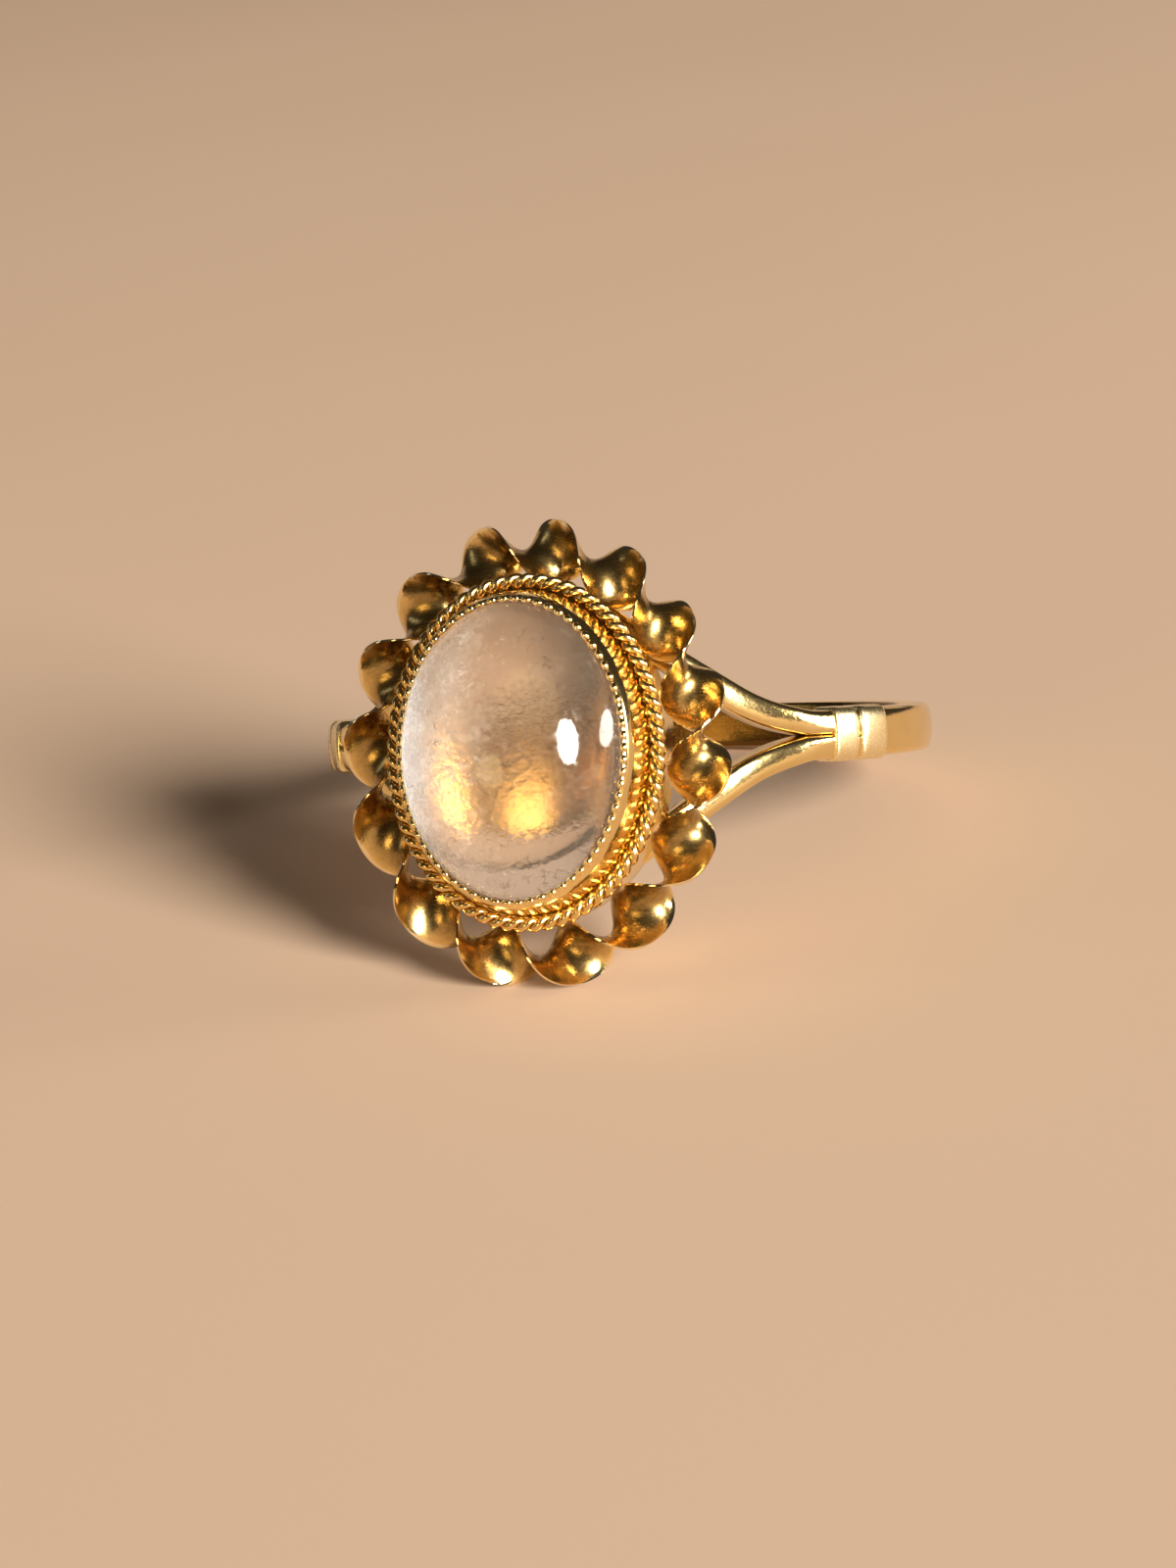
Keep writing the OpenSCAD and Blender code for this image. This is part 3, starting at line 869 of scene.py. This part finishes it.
# painted shade across each lobe's middle, and rims worn bright with a painted highlight
swept = ribbon_tree.keep(swept, "hollow", 1 - across.to("ABSOLUTE") ** 2.0)
swept = ribbon_tree.keep(swept, "rim", across.to("ABSOLUTE").ramp(rim_from, rim_to))
swept = ribbon_tree.node(
    "GeometryNodeMergeByDistance", sockets={"Geometry": swept, "Distance": join_within}
)
ribbon_tree.finish(swept, gold_ribbon)
ribbon_mesh = grown("ribbon_lobes", ribbon_tree, ribbon_sizes, ribbon_line)
dressed("ribbon_lobes", ribbon_mesh, head_board, gold_ribbon, 70, stands_for="ribbon_frame")

# %% [markdown]
# ## The stone
#
# A cabochon is ground, not faceted: a flat back, a short straight side and a high dome. The
# dome is half an oval ball. Its mesh is a stack of ovals from the middle of the back to the
# top, with the side's two edges eased, so the polish has no hard lines.

# %% Stone
# the gap under the stone, and the radius of the edge round its back
stone_lift, stone_edge = 0.02, 0.12
dome_rows, stone_columns = 56, 128


def stone_rows():
    """Ovals from the middle of the stone's back to its top, as shares of its widest oval."""
    back_at = shelf_at + stone_lift
    outline = [(0.02, back_at), (0.5, back_at), (0.9, back_at)]
    for a in np.linspace(0, math.pi / 2, 5):
        inset = stone_edge / stone_semi[0] * (1 - math.sin(a))
        outline.append((1 - inset, back_at + stone_edge * (1 - math.cos(a))))
    for a in np.linspace(0, math.pi / 2, dome_rows)[:-1]:
        outline.append((math.cos(a), girdle_at + stone_dome * math.sin(a)))
    outline.append((0.005, girdle_at + stone_dome))
    around = np.linspace(0, 2 * math.pi, stone_columns, endpoint=False)
    rows = []
    for share, height in outline:
        x, y = share * stone_semi[0] * np.sin(around), share * stone_semi[1] * np.cos(around)
        rows.append(np.stack([x, y, 0 * around + height], -1))
    return np.array(rows)


print("the stone is", 2 * stone_semi[1], "by", 2 * stone_semi[0], "mm")

# %% [markdown]
# ## What the stone is made of
#
# The stone is clear with a milky haze, and one sees the floor and the inside of the band
# through it. Glass alone would be too clean, and a plain white too dead. So the shader is
# part glass and part scattering body, and noise makes the haze thicker in clouds. The left
# side is milkier, partly as a painted sheen, and its far edge has a painted glow that stands
# in for light from the window side caught there. The right side is darkened with painted
# shade. Small crystals make a frost with painted glints, and a few cracks show as dark hairs.
# The golden patches are not painted: they are the polished inside of the band, darkened by
# painted shade, which mirrors the lamps and is seen through the stone.

# %% Stone's material
stone_middle = head_board @ Vector((0, 0, girdle_at))
WARM_GLASS, PALE_GLASS = (1.0, 0.86, 0.74, 1), (0.97, 0.88, 0.80, 1)
# the grey is painted shade that darkens the stone's right side
SHADE_GREY, CRACK = (0.52, 0.43, 0.40, 1), (0.30, 0.22, 0.15, 1)
# the cool milk at the left is partly a painted sheen
WARM_MILK, COOL_MILK_AND_SHEEN = (0.84, 0.68, 0.52, 1), (0.94, 0.96, 0.98, 1)
# the edge glow is a painted glow, though the stone is no lamp
NO_GLOW, PAINTED_EDGE_GLOW = (0, 0, 0, 1), (0.85, 0.93, 1.0, 1)
# how strongly the stone bends light, and how deep its frosted face is, in millimetres
stone_ior, frost_depth = 1.52, 0.035


def stone_material():
    """Clear stone and milky stone, mixed by the haze, the flaws, a painted sheen and painted
    glints, with painted shade on the right and a painted glow at the left edge.
    """
    material = bpy.data.materials.new("milky_stone")
    material.use_nodes = True
    bench = Bench(material.node_tree)
    place = bench.node("ShaderNodeTexCoord", out="Object")
    across = bench.node("ShaderNodeSeparateXYZ", sockets={"Vector": place}, out="X") / MM
    upward = bench.node("ShaderNodeSeparateXYZ", sockets={"Vector": place}, out="Z") / MM
    haze = bench.noise(place, 2.0, 3.0)
    crack = bench.noise(place, 0.9, 4.0)
    patches = bench.noise(place, 0.7, 2.0)
    crystals = bench.noise(place, 0.5, 5.0)
    frost = bench.noise(place, 0.16, 6.0)
    sparkle = bench.noise(place, 0.085, 2.0)

    # how milky each place is, from the right to the left, with the milkier left partly a painted
    # sheen, a painted glow at the far left edge, and the painted shade that darkens the other way
    left = (across * -1 + (haze - 0.5) * 1.8).ramp(-0.1, 3.3)
    # where the painted glow lies, along the far left edge
    painted_glow_at_left = (across * -1 + (crystals - 0.5) * 0.8).ramp(1.9, 3.3)
    right_shade = (across + (haze - 0.5) * 1.2).ramp(0.8, 2.6)
    # grains of frost, painted glints, and hairs where a crack runs through a broken patch
    grains = frost.ramp(0.46, 0.64) * crystals.ramp(0.40, 0.60)
    painted_glints = sparkle.ramp(0.60, 0.66) * (crystals * 0.6 + left * 0.4).ramp(0.36, 0.56)
    broken = (patches + upward.ramp(5.5, 3.0) * 0.10).ramp(0.56, 0.62)
    hair = (1 - (crack - 0.5).to("ABSOLUTE") * 60).to("MAXIMUM", 0.0) * broken

    body = bench.mix(haze.ramp(0.35, 0.7), WARM_GLASS, PALE_GLASS)
    # painted shade darkens the right side, and cracks show as dark hairs
    body = bench.mix(hair * 0.8, bench.mix(right_shade, body, SHADE_GREY), CRACK)
    polish = {"Height": frost * (0.12 + left), "Strength": 0.8, "Distance": frost_depth * MM}
    surface = {
        "Roughness": 0.04 + grains * 0.12,
        "IOR": stone_ior,
        "Normal": bench.node("ShaderNodeBump", sockets=polish),
    }
    clear = bench.node(
        "ShaderNodeBsdfPrincipled",
        sockets={**surface, "Base Color": body, "Transmission Weight": 1.0},
    )
    milky = bench.node(
        "ShaderNodeBsdfPrincipled",
        sockets={
            **surface,
            # milky colour, cool at the left, where it is partly a painted sheen
            "Base Color": bench.mix(left, WARM_MILK, COOL_MILK_AND_SHEEN),
            "Subsurface Weight": 0.6,
            "Subsurface Radius": (1.0, 0.9, 0.8),
            "Subsurface Scale": 1.5 * MM,
            # a painted glow along the far left edge
            "Emission Color": bench.mix(painted_glow_at_left, NO_GLOW, PAINTED_EDGE_GLOW),
            "Emission Strength": 0.8,
        },
    )
    # the milky share grows to the left, partly as a painted sheen, and at the painted glints
    cloudy = 0.05 + left**1.6 * 0.46
    cloudy = cloudy + grains * (0.05 + left * 0.42) + painted_glints * (0.10 + left * 0.25)
    share = (cloudy * (1 - hair * 0.7)).to("MINIMUM", 0.9)
    stone = bench.node("ShaderNodeMixShader", sockets={0: share, 1: clear, 2: milky})
    bench.node("ShaderNodeOutputMaterial", sockets={"Surface": stone})
    return material


stone_mesh = joined([shell(stone_rows())])
dressed("cabochon", stone_mesh, head_board, stone_material(), 60, stands_for="stone")

# %% [markdown]
# ## Floor, light and camera
#
# Gold has no colour of its own to show: it shows what is round it. Five soft lamps stand two
# metres away, so the floor is lit evenly. The key lamp makes the bright spots on the lobes and
# on the stone, and a low one at the right whitens the arms and collars. Three weak ones fill
# the rest: a golden one in front for the lobes that face the camera, a cool one for the
# stone's left edge, and a wide one behind, which is seen through the stone. The dim room
# leaves the hollows dark, and their brown is painted shade. The camera stands where the
# photograph was taken from, worked out on the ring board and carried to the floor with the ring.

# %% Floor
# how far the floor goes each way, in metres
reach = 3.0
corners = [(-reach, -reach, 0), (reach, -reach, 0), (reach, reach, 0), (-reach, reach, 0)]
floor_mesh = bpy.data.meshes.new("floor")
floor_mesh.from_pydata(corners, [], [(0, 1, 2, 3)])
floor_material = bpy.data.materials.new("pale_floor")
floor_material.use_nodes = True
bench = Bench(floor_material.node_tree)
floor_cloud = bench.noise(bench.node("ShaderNodeTexCoord", out="Object"), 60.0, 2.0)
floor_colour = bench.mix(floor_cloud, (0.58, 0.42, 0.31, 1), (0.62, 0.455, 0.34, 1))
matt = {"Base Color": floor_colour, "Roughness": 1.0, "Specular IOR Level": 0.1}
floor_surface = bench.node("ShaderNodeBsdfPrincipled", sockets=matt)
bench.node("ShaderNodeOutputMaterial", sockets={"Surface": floor_surface})
floor_mesh.materials.append(floor_material)
floor = bpy.data.objects.new("floor", floor_mesh)
bpy.context.scene.collection.objects.link(floor)

# %% Camera
# its yaw, rise and roll on the ring board in degrees, and how far from the ring's middle it
# stands in millimetres, by its own directions
camera_angles = (16.595, 2.316, -2.01)
camera_back, camera_left, camera_down = 111.612, 1.396, 1.6
# the sensor's longer side, and the photograph's focal length and height in its own pixels
sensor, focal_px, photo_px = 36.0, 3500, 1600


def camera_turn(yaw, rise, roll):
    """Right, up and back directions of a camera on the ring board."""
    back = Vector((math.sin(yaw) * math.cos(rise), -math.cos(yaw) * math.cos(rise), math.sin(rise)))
    side = (-back).cross(Vector((0, 0, 1))).normalized()
    top = side.cross(-back)
    right = side * math.cos(roll) + top * math.sin(roll)
    up = top * math.cos(roll) - side * math.sin(roll)
    return right, up, back


right, up, back = camera_turn(*(math.radians(a) for a in camera_angles))
camera_data = bpy.data.cameras.new("camera")
camera_data.sensor_width, camera_data.lens = sensor, sensor * focal_px / photo_px
camera_data.clip_start, camera_data.clip_end = 0.001, 20
camera = bpy.data.objects.new("camera", camera_data)
turned = Matrix((right, up, back)).transposed().to_4x4()
camera.matrix_world = Matrix.Rotation(-tilt, 4, "X") @ turned
camera.location = ring_board @ (back * camera_back - right * camera_left - up * camera_down)
bpy.context.scene.collection.objects.link(camera)
bpy.context.scene.camera = camera
print("camera at", [round(v, 4) for v in camera.location])

# %% Lights
# how far the lamps stand from the stone, in metres
lamp_reach = 2.0
# azimuth (0 in front, 90 at the right), elevation, width and height, all in degrees as the
# ring sees them, then how bright the lamp's face is, and its colour
lamps = {
    "key": (50, 20, 19, 22, 84, (1.0, 0.92, 0.80)),
    "side": (99, 8, 26, 14, 20, (1.0, 0.94, 0.84)),
    "front": (-19, 13, 20, 16, 4.8, (1.0, 0.72, 0.34)),
    "window": (-74, 28, 10, 41, 1.4, (0.84, 0.92, 1.0)),
    "back": (200, 15, 76, 28, 0.5, (1.0, 0.76, 0.58)),
}


def soft_lamp(name, azimuth, elevation, wide, high, glow, colour):
    """An oval lamp that is aimed at the stone."""
    data = bpy.data.lights.new(name, "AREA")
    width, height = (2 * lamp_reach * math.tan(math.radians(size / 2)) for size in (wide, high))
    data.shape, data.size, data.size_y = "ELLIPSE", width, height
    data.energy, data.color = glow * math.pi * (math.pi / 4 * width * height), colour
    lamp = bpy.data.objects.new(name, data)
    a, e = math.radians(azimuth), math.radians(elevation)
    way = Vector((math.sin(a) * math.cos(e), -math.cos(a) * math.cos(e), math.sin(e)))
    lamp.location = stone_middle + way * lamp_reach
    lamp.rotation_mode = "QUATERNION"
    lamp.rotation_quaternion = way.to_track_quat("Z", "Y")
    bpy.context.scene.collection.objects.link(lamp)


for name, values in lamps.items():
    soft_lamp(name, *values)
print("lamps:", list(lamps))

# %% The room
room_colour, room_strength = (0.60, 0.52, 0.45, 1), 0.06
world = bpy.data.worlds.new("room")
world.use_nodes = True
background = world.node_tree.nodes["Background"]
background.inputs["Color"].default_value = room_colour
background.inputs["Strength"].default_value = room_strength
bpy.context.scene.world = world
bpy.context.scene.view_settings.view_transform = "Standard"
